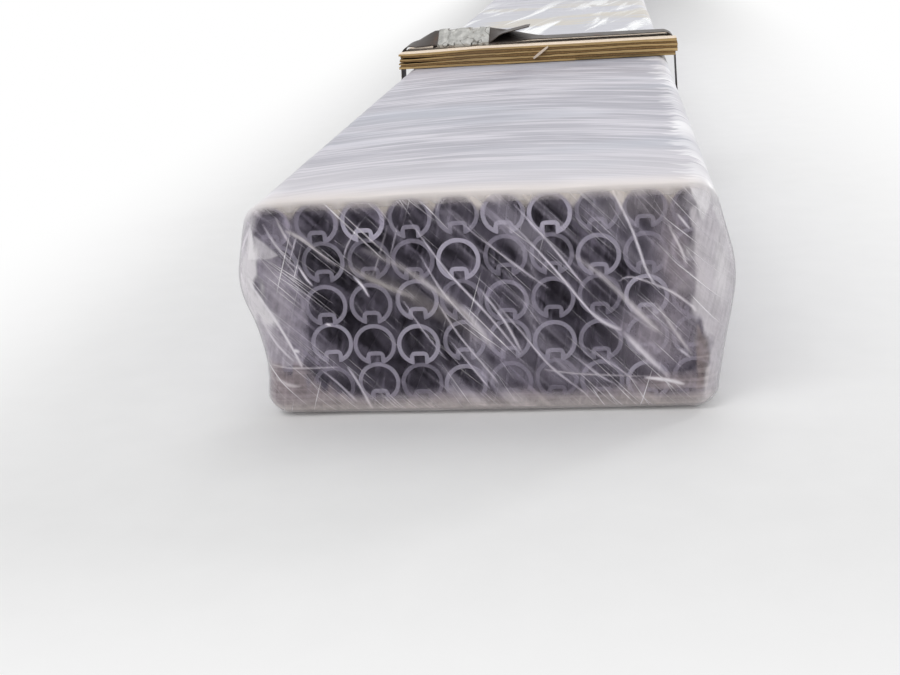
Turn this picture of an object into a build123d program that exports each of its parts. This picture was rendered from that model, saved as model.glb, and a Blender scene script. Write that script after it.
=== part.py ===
from build123d import *
from math import acos, atan2, cos, hypot, pi, sin, sqrt
import os

# A bundle of grooved steel tubes, wound in stretch film and strapped with steel band over
# plywood battens. Millimetres. X runs across the bundle, Y along the tubes with the front end
# at -Y, and Z is up. The origin is on the ground, under the middle of the bundle.

# The grooved tube
tube_od = 28.0
tube_wall = 2.8
tube_length = 6000.0
groove_mouth = 6.6
groove_depth = 6.4
groove_lip_radius = 0.8
groove_floor_radius = 0.6

# How the tubes are stacked
column_count = 10
row_count = 5
column_gap = 0.3
seat_gap = 0.3
end_scatter = 4.0
scatter_turn_by_row = 2.3
scatter_turn_by_column = 1.7
scatter_turn_start = 0.9
loose_end_reach = 10.0
loose_end_columns = 3
loose_turn_by_column = 1.9

# The stretch film round the stack, and the sheet over each end
film_thickness = 1.2
film_gap = 0.3
side_bulge = 9.5
belly_radius = 70.0
belly_above_middle = 12.0
end_round = 7.2
end_lip = 8.0
mouth_corner_radius = 4.0
end_sheet_thickness = 1.0
end_gap = 5.0
end_sheet_tuck = 4.5

# Plywood battens under the steel band
band_stations = 4
first_batten_distance = 680.0
batten_thickness = 18.0
batten_depth = 90.0
batten_overhang = 4.6
broken_ply_thickness = 3.0
broken_ply_length = 100.0
broken_ply_depth = 22.0
ply_split_above_middle = 3.0
ply_split_length = 78.0
ply_split_mouth = 2.4

# The steel band and its crimped seal
band_width = 32.0
band_thickness = 0.8
band_gap = 0.3
band_corner_radius = 12.0
seal_length = 57.0
seal_wall = 0.9
seal_side_gap = 0.3
seal_lap_gap = 0.2
seal_height_over_batten = 7.5
seal_distance_from_end = 37.0
seal_slit = 5.0
seal_notch_spacing = 26.0
seal_notch_length = 8.0
seal_notch_depth = 3.6
seal_tab_bend = 35.0
band_tail_length = 45.0
band_tail_rise = 9.0
band_stub_length = 5.0
band_stub_drop = 2.0
band_ramp_length = 60.0
band_ramp_lead = 5.0
band_bend_radius = 6.0

# The stack, worked out from the tube
tube_radius = tube_od / 2
column_pitch = tube_od + column_gap
lip_offset = groove_mouth / 2 + groove_lip_radius
lip_drop = sqrt((tube_radius - groove_lip_radius) ** 2 - lip_offset**2)
crown_rise = sqrt((tube_radius + groove_lip_radius) ** 2 - lip_offset**2)
row_pitch = lip_drop + crown_rise + seat_gap
corner_radius = tube_radius + film_gap
outer_column = (column_count - 1) / 2 * column_pitch
film_bottom = band_thickness + band_gap
bottom_row = film_bottom + film_thickness + corner_radius
top_row = bottom_row + (row_count - 1) * row_pitch
film_top = top_row + corner_radius + film_thickness
bulge_z = (bottom_row + top_row) / 2 + belly_above_middle
bulge_x = outer_column + corner_radius + side_bulge
end_reach = end_scatter + loose_end_reach
cavity_half = tube_length / 2 + end_reach + end_gap
film_half = cavity_half + film_thickness
mouth_inset = film_thickness - end_round - end_lip

# The battens and the band, worked out from the stack
batten_top = film_top + batten_thickness
batten_length = 2 * (outer_column + tube_radius + batten_overhang)
first_station = film_half - first_batten_distance - batten_depth / 2
station_pitch = 2 * first_station / (band_stations - 1)
corner_lift = band_corner_radius * (1 - 1 / sqrt(2)) + band_gap
run_z = batten_top + corner_lift
seal_low = batten_top + seal_height_over_batten
seal_start = seal_distance_from_end - batten_length / 2
seal_end = seal_start + seal_length
lap_rise = band_thickness + seal_lap_gap
seal_x = (seal_start + seal_end) / 2
seal_z = seal_low + band_thickness + seal_lap_gap / 2


def grooved_disc(inset):
    """The tube's outline moved in by some distance: a disc with the channel up its underside."""
    channel_top = groove_depth - tube_radius + inset
    channel = Rectangle(groove_mouth + 2 * inset, 2 * groove_depth)
    skin = Circle(tube_radius - inset) - Pos(0, channel_top - groove_depth) * channel
    corners = skin.vertices().filter_by(lambda v: abs(v.Y - channel_top) < groove_floor_radius / 2)
    return fillet(corners, groove_floor_radius + inset)


def tube_profile():
    """The section of a tube: its wall folds in to a square channel along the underside."""
    skin = grooved_disc(0)
    lips = skin.vertices().sort_by(Axis.Y)[:2]
    return fillet(lips, groove_lip_radius) - grooved_disc(tube_wall)


def end_shift(row, column):
    """How far a tube stands out at the front: the ends of a bundle never line up."""
    turn = scatter_turn_by_row * row + scatter_turn_by_column * column
    shift = end_scatter * sin(turn + scatter_turn_start)
    if row == row_count - 1 and column < loose_end_columns:
        shift = end_scatter * cos(loose_turn_by_column * column) + loose_end_reach
    return shift


def tube_row(row, profile):
    """One layer of tubes, each seated with its groove on the crown of the tube below."""
    blank = extrude(Plane.XZ * profile, tube_length / 2, both=True)
    z = bottom_row + row * row_pitch
    tubes = []
    for column in range(column_count):
        x = column * column_pitch - outer_column
        tubes.append(Pos(x, -end_shift(row, column), z) * blank)
    return Compound(children=tubes)


def belt_round(pulleys):
    """A belt pulled tight round circles, given anticlockwise: an arc on each, then a line."""
    leaving, arriving = [], []
    for first, second in zip(pulleys, pulleys[1:] + pulleys[:1]):
        dx, dz = second[0] - first[0], second[1] - first[1]
        reach = hypot(dx, dz)
        angle = atan2(dz, dx) - acos((first[2] - second[2]) / reach)
        leaving.append(angle)
        arriving.append(angle)
    arriving = arriving[-1:] + arriving[:-1]
    edges = []
    for index, (x, z, radius) in enumerate(pulleys):
        turn = (leaving[index] - arriving[index]) % (2 * pi)
        angles = (arriving[index], arriving[index] + turn / 2, arriving[index] + turn)
        arc = [(x + radius * cos(angle), z + radius * sin(angle)) for angle in angles]
        edges.append(ThreePointArc(*arc))
    lines = []
    for here, after in zip(edges, edges[1:] + edges[:1]):
        lines.append(Line(here @ 1, after @ 0))
    return [edge for pair in zip(edges, lines) for edge in pair]


def wrap_pulleys(side, grow):
    """What the wrap goes round on one side: the bottom tube, the belly and the top tube."""
    radius = max(corner_radius + grow, mouth_corner_radius)
    inset = radius - corner_radius - grow
    foot = (side * (outer_column - inset), bottom_row + inset, radius)
    belly = (side * (bulge_x - belly_radius), bulge_z, belly_radius + grow)
    crown = (side * (outer_column - inset), top_row - inset, radius)
    return [foot, belly, crown]


def wrap_outline(grow):
    """The closed barrel-shaped section of the wrap, grown outwards by a wall or a gap."""
    return make_face(belt_round(wrap_pulleys(1, grow) + wrap_pulleys(-1, grow)[::-1]))


def wrap_solid(grow, half_length, rounding):
    """A plug of the wrap's section with rounded ends."""
    plug = extrude(Plane.XZ * wrap_outline(grow), half_length, both=True)
    rims = plug.edges().filter_by(lambda e: abs(e.center().Y) > half_length - rounding)
    return fillet(rims, rounding)


def film_sleeve():
    """The wound film: a hollow sleeve whose ends curl in over the ends of the tubes."""
    outside = wrap_solid(film_thickness, film_half, end_round)
    inside = wrap_solid(0, cavity_half, end_round - film_thickness)
    mouth = extrude(Plane.XZ * wrap_outline(mouth_inset), 2 * film_half, both=True)
    return outside - inside - mouth


def end_sheet(side):
    """The clear sheet over one end of the stack, tucked behind the sleeve's lip."""
    outline = wrap_outline(mouth_inset + end_sheet_tuck)
    sheet = extrude(Plane.XZ * outline, end_sheet_thickness / 2, both=True)
    return Pos(0, side * (cavity_half - end_sheet_thickness / 2), 0) * sheet


def batten(station):
    """A plywood strip, with a ply broken off the front and the plies parting at one end."""
    centre_z = film_top + batten_thickness / 2
    strip = Box(batten_length, batten_depth, batten_thickness)
    broken = Pos(
        (batten_length - broken_ply_length) / 2,
        (broken_ply_depth - batten_depth) / 2,
        (broken_ply_thickness - batten_thickness) / 2,
    ) * Box(broken_ply_length, broken_ply_depth, broken_ply_thickness)
    left = -batten_length / 2
    split = make_face(
        Polyline(
            (left, ply_split_above_middle - ply_split_mouth / 2),
            (left + ply_split_length, ply_split_above_middle),
            (left, ply_split_above_middle + ply_split_mouth / 2),
            close=True,
        )
    )
    wedge = extrude(Plane.XZ * split, batten_depth, both=True)
    return Pos(0, station, centre_z) * (strip - broken - wedge)


def band_path():
    """The inner face of the band: from its free tail over the seal, right round, to its stub."""
    grow = film_thickness + band_gap
    shoulder_x = batten_length / 2 + corner_lift - band_corner_radius
    shoulder_z = run_z - band_corner_radius
    left_shoulder = (-shoulder_x, shoulder_z, band_corner_radius)
    left_side = wrap_pulleys(-1, grow)[:2][::-1]
    right_side = wrap_pulleys(1, grow)[:2]
    right_shoulder = (shoulder_x, shoulder_z, band_corner_radius)
    around = belt_round([left_shoulder] + left_side + right_side + [right_shoulder])[:-1]
    lap = seal_low + lap_rise
    over = FilletPolyline(
        (seal_end + band_tail_length, lap + band_tail_rise),
        (seal_end, lap),
        (seal_start - band_ramp_lead, lap),
        (-shoulder_x + band_ramp_lead, run_z),
        (-shoulder_x, run_z),
        radius=band_bend_radius,
    )
    under = FilletPolyline(
        (shoulder_x, run_z),
        (seal_end + band_ramp_length, run_z),
        (seal_end + band_ramp_lead, seal_low),
        (seal_start, seal_low),
        (seal_start - band_stub_length, seal_low - band_stub_drop),
        radius=band_bend_radius,
    )
    return Wire(over.edges() + around + under.edges())


def seal_notches(station):
    """The four bites that the crimping tool takes out of the seal and the band in it."""
    bite = Box(seal_notch_length, 2 * seal_notch_depth, 6 * band_thickness)
    reach = band_width / 2 + seal_side_gap + seal_wall
    bites = []
    for x in (-seal_notch_spacing / 2, seal_notch_spacing / 2):
        for y in (-reach, reach):
            bites.append(Pos(seal_x + x, station + y, seal_z) * bite)
    return bites


def band(station, path):
    """One turn of steel band round the stack and its batten, lapped through the seal."""
    line = Plane.XZ * path
    across = Plane(origin=line @ 0, x_dir=(0, -1, 0), z_dir=line % 0)
    section = across * Pos(0, band_thickness / 2) * Rectangle(band_width, band_thickness)
    strip = Pos(0, station, 0) * sweep(section, line)
    return strip - seal_notches(station)


def seal(station):
    """The folded steel seal round the lap, bitten by the tool, with the cut tabs bent down."""
    slot_height = 2 * band_thickness + 3 * seal_lap_gap
    slot_width = band_width + 2 * seal_side_gap
    outer_width = slot_width + 2 * seal_wall
    outer_height = slot_height + 2 * seal_wall
    shell = Box(seal_length, outer_width, outer_height)
    shell = fillet(shell.edges().filter_by(Axis.X), seal_wall)
    shell -= Box(2 * seal_length, slot_width, slot_height)
    shell -= Pos(0, 0, -outer_height / 2) * Box(2 * seal_length, seal_slit, 2 * seal_wall)
    shell = Pos(seal_x, station, seal_z) * shell - seal_notches(station)
    tab = Box(
        seal_notch_length - 2 * seal_side_gap,
        seal_notch_depth,
        seal_wall,
        align=(Align.CENTER, Align.MIN, Align.MAX),
    )
    root = outer_width / 2 - seal_notch_depth
    for x in (-seal_notch_spacing / 2, seal_notch_spacing / 2):
        for side in (-1, 1):
            place = Pos(seal_x + x, station + side * root, seal_z + outer_height / 2)
            facing = Rot(0, 0, 0 if side == 1 else 180)
            shell += place * facing * Rot(-seal_tab_bend, 0, 0) * tab
    return shell


def save(name, shape):
    export_step(shape, f"parts/{name}.step")


os.makedirs("parts", exist_ok=True)
section = tube_profile()
for row in range(row_count):
    save(f"tube_row_{row + 1}", tube_row(row, section))
save("film_sleeve", film_sleeve())
save("end_film_front", end_sheet(-1))
save("end_film_back", end_sheet(1))
route = band_path()
for index in range(band_stations):
    station = index * station_pitch - first_station
    save(f"batten_{index + 1}", batten(station))
    save(f"band_{index + 1}", band(station, route))
    save(f"seal_{index + 1}", seal(station))
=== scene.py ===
import math

import bmesh
import bpy
import numpy as np
from mathutils import Matrix, Vector


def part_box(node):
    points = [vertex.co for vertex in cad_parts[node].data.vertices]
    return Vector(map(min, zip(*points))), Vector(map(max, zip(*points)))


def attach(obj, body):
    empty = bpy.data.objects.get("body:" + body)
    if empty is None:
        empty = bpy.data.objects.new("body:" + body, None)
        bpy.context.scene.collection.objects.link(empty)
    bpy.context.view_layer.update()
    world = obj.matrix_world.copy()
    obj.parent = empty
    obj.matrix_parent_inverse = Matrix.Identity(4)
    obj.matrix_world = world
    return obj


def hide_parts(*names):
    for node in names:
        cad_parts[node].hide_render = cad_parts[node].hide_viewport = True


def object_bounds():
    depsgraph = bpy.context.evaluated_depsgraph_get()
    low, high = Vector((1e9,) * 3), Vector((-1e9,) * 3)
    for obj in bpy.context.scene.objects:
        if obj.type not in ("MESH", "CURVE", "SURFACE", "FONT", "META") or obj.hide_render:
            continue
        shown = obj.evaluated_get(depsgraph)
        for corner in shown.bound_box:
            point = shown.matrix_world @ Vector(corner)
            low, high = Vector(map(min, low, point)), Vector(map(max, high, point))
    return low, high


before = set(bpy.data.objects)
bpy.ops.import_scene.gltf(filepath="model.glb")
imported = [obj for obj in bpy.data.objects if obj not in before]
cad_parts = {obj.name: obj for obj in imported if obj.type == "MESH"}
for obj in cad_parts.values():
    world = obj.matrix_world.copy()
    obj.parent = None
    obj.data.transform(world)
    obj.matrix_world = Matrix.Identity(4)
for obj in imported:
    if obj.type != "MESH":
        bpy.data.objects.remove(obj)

cadLow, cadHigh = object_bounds()
mm = 0.001
wrapArch = 2.5              # bend of each wrap of film across the top, per metre
bandNumbers = range(1, 5)   # each band has its batten and its seal

# The camera stands low in front of the bundle's end, a little to the right.
photoView = {
    "imageSize": (900, 675),
    "lens": 52.0,
    "sensorWidth": 36.0,
    "location": (0.0816, -3.7667, 0.2989),
    "tilt": (71.94, 3.698, 6.559),      # degrees, about X, Y and Z
    "endMiddle": (450, 300),            # pixel at which a pixel's size on the end is taken
}


def cameraAxes():
    turns = [math.radians(angle) for angle in photoView["tilt"]]
    return np.array(Matrix.Rotation(turns[2], 3, "Z") @ Matrix.Rotation(turns[1], 3, "Y")
                    @ Matrix.Rotation(turns[0], 3, "X"))


def onEndFace(column, row, faceY):
    # Where the line of sight through a pixel meets the plane of the tube ends, as (x, z).
    wide, high = photoView["imageSize"]
    focal = photoView["lens"] / photoView["sensorWidth"] * wide
    sight = cameraAxes() @ np.array([column - wide / 2, high / 2 - row, -focal])
    eye = np.array(photoView["location"])
    point = eye + sight * (faceY - eye[1]) / sight[1]
    return point[0], point[2]


# Seeded noise on plain numbers, for shapes that are made in code.
def valueNoise(a, b, seed):
    lattice = np.random.default_rng(seed).random((256, 256))
    a, b = np.broadcast_arrays(np.asarray(a, float), np.asarray(b, float))
    i, j = np.floor(a).astype(int), np.floor(b).astype(int)
    u, v = a - i, b - j
    u, v = u * u * (3 - 2 * u), v * v * (3 - 2 * v)
    corner = [lattice[(i + di) % 256, (j + dj) % 256] for di in (0, 1) for dj in (0, 1)]
    low = corner[0] * (1 - v) + corner[1] * v
    high = corner[2] * (1 - v) + corner[3] * v
    return low * (1 - u) + high * u


def ridge(noise, power=3.0):
    # Sharp crests where the noise passes its middle value.
    return (1 - np.abs(2 * noise - 1)) ** power


def smooth(low, high, value):
    t = np.clip((value - low) / (high - low), 0, 1)
    return t * t * (3 - 2 * t)


# One wrapped socket, so that node maths reads as Python.
class Signal:
    def __init__(self, graph, socket):
        self.graph = graph
        self.socket = socket

    def maths(self, operation, other=None, swap=False):
        pair = (other, self) if swap else (self, other)
        inputs = {place: value for place, value in enumerate(pair) if value is not None}
        return self.graph.add("ShaderNodeMath", {"operation": operation}, inputs)

    def __add__(self, other):
        return self.maths("ADD", other)

    def __sub__(self, other):
        return self.maths("SUBTRACT", other)

    def __rsub__(self, other):
        return self.maths("SUBTRACT", other, swap=True)

    def __mul__(self, other):
        return self.maths("MULTIPLY", other)

    __radd__, __rmul__ = __add__, __mul__

    def most(self, other):
        return self.maths("MAXIMUM", other)

    def least(self, other):
        return self.maths("MINIMUM", other)

    def size(self):
        return self.maths("ABSOLUTE")

    def step(self, low, high):
        # 0 below low and 1 above high, with a smooth slope between them.
        return self.graph.add("ShaderNodeMapRange", {"interpolation_type": "SMOOTHSTEP"},
                              {"Value": self, "From Min": low, "From Max": high})


class Graph:
    def __init__(self, tree):
        self.tree = tree

    def add(self, kind, settings=None, inputs=None, output=0):
        made = self.tree.nodes.new(kind)
        for name, value in (settings or {}).items():
            setattr(made, name, value)
        for name, value in (inputs or {}).items():
            socket = made.inputs[name]
            if isinstance(value, Signal):
                self.tree.links.new(value.socket, socket)
            else:
                socket.default_value = (*value, 1) if socket.type == "RGBA" else value
        return Signal(self, made.outputs[output]) if made.outputs else None


class Finish(Graph):
    def __init__(self, name):
        self.material = bpy.data.materials.new(name)
        self.material.use_nodes = True
        super().__init__(self.material.node_tree)
        self.tree.nodes.clear()
        self.place = self.add("ShaderNodeTexCoord", output="Object")

    def turned(self, angle, axis="Y"):
        # About the Y axis a pattern on the end face comes to run at a slant.
        return self.add("ShaderNodeVectorRotate", {"rotation_type": f"{axis}_AXIS"},
                        {"Vector": self.place, "Angle": math.radians(angle)})

    def axis(self, name):
        return self.add("ShaderNodeSeparateXYZ", None, {0: self.place}, name)

    def noise(self, scale, shift=(0, 0, 0), vector=None, detail=2.0, roughness=0.5,
              distortion=0.0):
        # Three scales stretch the pattern along the axes; a single number leaves it even.
        place = vector or self.place
        if isinstance(scale, tuple):
            place = self.add("ShaderNodeVectorMath", {"operation": "MULTIPLY_ADD"},
                             {0: place, 1: scale, 2: shift})
            scale = 1.0
        return self.add("ShaderNodeTexNoise", {"normalize": True},
                        {"Vector": place, "Scale": scale, "Detail": detail,
                         "Roughness": roughness, "Distortion": distortion})

    def attribute(self, name):
        return self.add("ShaderNodeAttribute", {"attribute_name": name}, output="Fac")

    def between(self, share, first, second):
        return self.add("ShaderNodeMix", {"data_type": "FLOAT"},
                        {"Factor": share, 2: first, 3: second})

    def mixed(self, share, first, second):
        return self.add("ShaderNodeMix", {"data_type": "RGBA"},
                        {"Factor": share, 6: first, 7: second}, 2)

    def bump(self, height, distance, strength=1.0):
        return self.add("ShaderNodeBump", None,
                        {"Height": height, "Distance": distance, "Strength": strength})

    def shader(self, **inputs):
        named = {name.replace("_", " "): value for name, value in inputs.items()}
        return self.add("ShaderNodeBsdfPrincipled", None, named)

    def finished(self, shader):
        self.add("ShaderNodeOutputMaterial", None, {"Surface": shader})
        return self.material

    def surface(self, **inputs):
        return self.finished(self.shader(**inputs))


# Materials. The colours and sizes that a user would change stand before each.
tubeLooks = {
    "wall": ((0.034, 0.03, 0.045), (0.11, 0.10, 0.13)),
    "dullWall": (0.075, 0.068, 0.09),
    "sawn": ((0.09, 0.08, 0.105), (0.29, 0.265, 0.33)),
    "brightSawn": (0.48, 0.45, 0.54),
}


def tubeSteel():
    finish = Finish("tubeSteel")
    tone = finish.attribute("tone")
    cut = finish.attribute("cutEnd")
    drawn = finish.noise((900, 6, 900), detail=3)
    spangle = finish.noise((160, 60, 160))
    wall = finish.mixed(spangle * 0.6 + drawn * 0.4, *tubeLooks["wall"])
    wall = finish.mixed(tone * 0.35, wall, tubeLooks["dullWall"])
    sawn = finish.noise((700, 700, 2600), detail=3)
    face = finish.mixed(sawn, *tubeLooks["sawn"])
    face = finish.mixed(tone * tone, face, tubeLooks["brightSawn"])
    rough = 0.36 + 0.2 * drawn + 0.12 * cut
    height = finish.bump(drawn, 0.00012, 0.5)
    return finish.surface(Base_Color=finish.mixed(cut, wall, face), Metallic=0.45,
                          Roughness=rough, Normal=height)


woundLooks = {
    "streaks": ((0.32, 0.315, 0.375), (0.64, 0.62, 0.685)),
    "bluish": (0.44, 0.475, 0.56),
    "sides": (0.55, 0.54, 0.59),
    "frontHighlight": (0.78, 0.745, 0.78),
    "whiteAndGlare": (0.95, 0.94, 0.97),
    "folded": (0.50, 0.51, 0.56),
    "tan": (0.55, 0.50, 0.41),
    "glossHighlight": (0.97, 0.99, 1.0),
    "cream": (0.88, 0.82, 0.80),
    "archReach": 125 * mm,              # how far from the middle the wraps go on bending
    "faintSides": (116 * mm, 136 * mm),     # heights between which the streaks grow fainter
    "paleEnd": (2.82, 3.0),             # metres in front of the middle
    "glareEdge": (159 * mm, 164 * mm),  # how far aside the painted glare begins
    "glareHeight": (112 * mm, 134 * mm),
    "teeth": 70 * mm,                   # how ragged the painted glare's edge is
    "foldSlant": -80,                   # degrees
}


def woundFilm():
    finish = Finish("woundFilm")
    along, across, up = finish.axis("Y"), finish.axis("X"), finish.axis("Z")
    # The wraps run nearly square to the tubes, a little arched.
    inner = across.size().least(woundLooks["archReach"])
    skewed = along + wrapArch * inner * inner
    wraps = finish.add("ShaderNodeCombineXYZ", None, {"X": across, "Y": skewed, "Z": up})
    fine = finish.noise((13, 175, 13), vector=wraps, detail=3, roughness=0.55)
    broad = finish.noise((9, 62, 9), (3, 8, 1), wraps, detail=3)
    wide = finish.noise((5, 21, 5), (9, 2, 6), wraps)
    patch = finish.noise((3.5, 9, 3.5), (7, 2, 5))
    milky = (fine * 0.40 + broad * 0.34 + wide * 0.26).step(0.40, 0.60)
    body = finish.mixed(milky, *woundLooks["streaks"])
    body = finish.mixed(patch.step(0.45, 0.7) * 0.55, body, woundLooks["bluish"])
    # The streaks are fainter down the sides.
    lower = 1 - up.step(*woundLooks["faintSides"])
    body = finish.mixed(lower * 0.45, body, woundLooks["sides"])
    # Paler towards the front end: a painted highlight.
    frontHighlight = (-1 * along).step(*woundLooks["paleEnd"])
    body = finish.mixed(frontHighlight * 0.5, body, woundLooks["frontHighlight"])
    # Painted highlight: glare where the wraps turn over the upper right edge, partly white
    # stretched film.
    teeth = finish.noise((12, 150, 12), (1, 2, 3), wraps)
    aside = across + woundLooks["teeth"] * teeth
    edge = aside.step(*woundLooks["glareEdge"]) * up.step(*woundLooks["glareHeight"])
    body = finish.mixed(edge * (0.45 + 0.45 * wide.step(0.4, 0.6)), body, woundLooks["whiteAndGlare"])
    # Looser wraps beside the battens lie in slanting folds, with their gloss painted on as white
    # highlights.
    folded = finish.attribute("folded")
    slanted = finish.turned(woundLooks["foldSlant"], "Z")
    folds = finish.noise((3.2, 30, 16), (4, 1, 2), slanted, detail=3, distortion=0.7)
    glossHighlight = folds.step(0.49, 0.60) * folded
    body = finish.mixed(folded * 0.7, body, woundLooks["folded"])
    body = finish.mixed(patch.step(0.52, 0.6) * folded * 0.8, body, woundLooks["tan"])
    body = finish.mixed(glossHighlight, body, woundLooks["glossHighlight"])
    # Painted light: cream near the ends, over the top and along the foot.
    cream = finish.attribute("cream")
    body = finish.mixed(cream, body, woundLooks["cream"])
    body = finish.mixed(finish.attribute("whiteAndGlare"), body, woundLooks["whiteAndGlare"])
    alpha = finish.attribute("cover")
    dulled = 0.24 + 0.22 * broad - 0.12 * glossHighlight
    height = finish.bump(fine * 0.35 + broad + 1.6 * folds * folded, 0.0014, 0.6)
    return finish.surface(Base_Color=body, Roughness=dulled, Alpha=alpha, Normal=height,
                          IOR=1.45, Specular_IOR_Level=0.34)


clearLooks = {
    "body": ((0.47, 0.415, 0.55), (0.50, 0.455, 0.505)),    # clear and frosted
    "cream": (0.64, 0.57, 0.51),
    # a brownish tint of the film, partly painted shade towards the bottom
    "beigeAndShade": (0.40, 0.325, 0.335),
    "flatCrease": (0.60, 0.54, 0.54),
    # painted light on the film turning under the bottom row
    "under": (0.80, 0.72, 0.69),
    "whiteAndGlare": (0.90, 0.87, 0.90),
    "crease": (0.96, 0.92, 0.97),
    # Families of scratches: slant in degrees, cut-off, shift of the pattern and lines per metre.
    "scratches": ((-48, 0.64, 1, 620), (-40, 0.66, 5, 700), (-58, 0.66, 9, 560),
                  (72, 0.675, 13, 620), (-45, 0.62, 17, 1300)),
    "foldSlant": -46,                   # degrees, of the folds' own fibres
    "flatCreases": (30 * mm, 50 * mm),  # heights between which the flat creases end
    "underside": (4 * mm, 15 * mm),     # and the pale strip below the bottom row, painted light
}


def clearFilm():
    finish = Finish("clearFilm")
    frost = finish.attribute("frost")
    crease = finish.attribute("crease")
    cream = finish.attribute("cream")
    beigeAndShade = finish.attribute("beigeAndShade")
    haze = finish.attribute("haze")
    # Scratch-like lines, thin across and long along.
    lines = None
    for angle, cutoff, shift, pitch in clearLooks["scratches"]:
        slanted = finish.turned(angle)
        wave = finish.noise((14, 14, 14), (shift, 1, 1), detail=1)
        streak = finish.noise((11, 1, pitch), (shift, shift, shift), slanted, roughness=0.4,
                              distortion=0.12)
        strong = streak.step(cutoff, cutoff + 0.07) * wave.step(0.35, 0.6)
        lines = strong if lines is None else lines.most(strong)
    veil = finish.noise((24, 20, 110), (2, 4, 6), finish.turned(-45), detail=5, roughness=0.65)
    grain = finish.noise((900, 100, 120), (1, 2, 3), finish.turned(12), detail=3)
    smear = finish.noise((420, 60, 48), (8, 1, 5), finish.turned(-9), detail=4)
    fold = finish.turned(clearLooks["foldSlant"])
    broad = finish.noise((7, 1, 150), (6, 1, 2), fold, detail=3)
    alpha = haze * (0.35 + 1.8 * veil.step(0.38, 0.70)) + 0.34 * lines
    alpha = alpha + 0.16 * smear.step(0.52, 0.8) + 0.20 * broad.step(0.54, 0.74)
    steep = finish.noise((520, 100, 34), (5, 2, 3), finish.turned(-14), detail=4)
    mottle = finish.noise(150, detail=4, roughness=0.7)
    # Flat creases where the film turns under the bottom row.
    level = finish.noise((16, 30, 360), (3, 1, 4), detail=4)
    up = finish.axis("Z")
    flat = level.step(0.46, 0.66) * beigeAndShade * (1 - up.step(*clearLooks["flatCreases"]))
    run = finish.between(beigeAndShade, steep, level)
    # Where it is thickest the film is even.
    even = frost.step(0.66, 0.95)
    mottled = mottle * (1 - 0.72 * even) + 0.38 * even
    frosted = frost * (0.12 * grain + 0.55 * run + mottled).least(1.12)
    # Every fold is a bundle of hair-fine ones.
    fibre = finish.noise((16, 1, 1100), (7, 1, 9), fold)
    fibrous = crease * (0.60 + 0.95 * fibre)
    alpha = (alpha + frosted + fibrous + flat * 0.12).least(0.96)
    body = finish.mixed(frost, *clearLooks["body"])
    body = finish.mixed(cream, body, clearLooks["cream"])
    body = finish.mixed(beigeAndShade, body, clearLooks["beigeAndShade"])
    body = finish.mixed(flat * 0.25, body, clearLooks["flatCrease"])
    # Painted light: the film turning under the bottom row is made paler.
    underside = beigeAndShade * (1 - up.step(*clearLooks["underside"]))
    body = finish.mixed(underside.least(0.9), body, clearLooks["under"])
    body = finish.mixed(finish.attribute("whiteAndGlare"), body, clearLooks["whiteAndGlare"])
    body = finish.mixed(crease.most(lines).least(0.95), body, clearLooks["crease"])
    height = finish.bump(lines * 0.6 + grain * 0.3 + veil, 0.0010, 0.7)
    return finish.surface(Base_Color=body, Roughness=0.28, Alpha=alpha, Normal=height,
                          IOR=1.45, Specular_IOR_Level=0.5)


plywoodLooks = {
    "lightPly": ((0.41, 0.25, 0.09), (0.77, 0.56, 0.28)),
    "darkPly": ((0.09, 0.045, 0.016), (0.42, 0.26, 0.11)),
    "face": (0.90, 0.76, 0.62),
    "stain": (0.22, 0.15, 0.09),
    "glue": (0.055, 0.03, 0.02),
}


def plywood():
    finish = Finish("plywood")
    layer = finish.attribute("layer")
    glue = finish.attribute("glue")
    grainAlong = finish.noise((14, 260, 900), detail=4, roughness=0.65)
    grainEnd = finish.noise((700, 700, 500), detail=4, roughness=0.7)
    grain = finish.between(layer.least(1.0), grainAlong, grainEnd)
    light = finish.mixed(grain, *plywoodLooks["lightPly"])
    dark = finish.mixed(grain, *plywoodLooks["darkPly"])
    body = finish.mixed(layer.least(1.0), light, dark)
    body = finish.mixed((layer - 1.0).most(0.0), body, plywoodLooks["face"])
    stain = finish.noise((9, 12, 40), detail=3)
    body = finish.mixed(stain.step(0.5, 0.8) * 0.5, body, plywoodLooks["stain"])
    body = finish.mixed(glue, body, plywoodLooks["glue"])
    height = finish.bump(grain, 0.0010, 0.8)
    return finish.surface(Base_Color=body, Roughness=0.78, Normal=height,
                          Specular_IOR_Level=0.2)


bandLooks = {
    "rolled": ((0.026, 0.020, 0.018), (0.075, 0.060, 0.052)),
    "rust": (0.075, 0.040, 0.026),
}


def bandSteel():
    finish = Finish("bandSteel")
    rolled = finish.noise((12, 700, 12), detail=3)
    rust = finish.noise(55, detail=5, roughness=0.65)
    body = finish.mixed(rolled, *bandLooks["rolled"])
    body = finish.mixed(rust.step(0.55, 0.72), body, bandLooks["rust"])
    return finish.surface(Base_Color=body, Metallic=0.55, Roughness=0.36 + 0.25 * rust,
                          Normal=finish.bump(rolled * 0.5 + rust * 0.5, 0.0002, 0.6))


sealLooks = {
    "zinc": ((0.27, 0.27, 0.255), (0.50, 0.495, 0.475)),
    "wear": (0.11, 0.085, 0.06),
    # painted shade in the creases of the crumpled seal
    "fold": (0.06, 0.05, 0.04),
}


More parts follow.
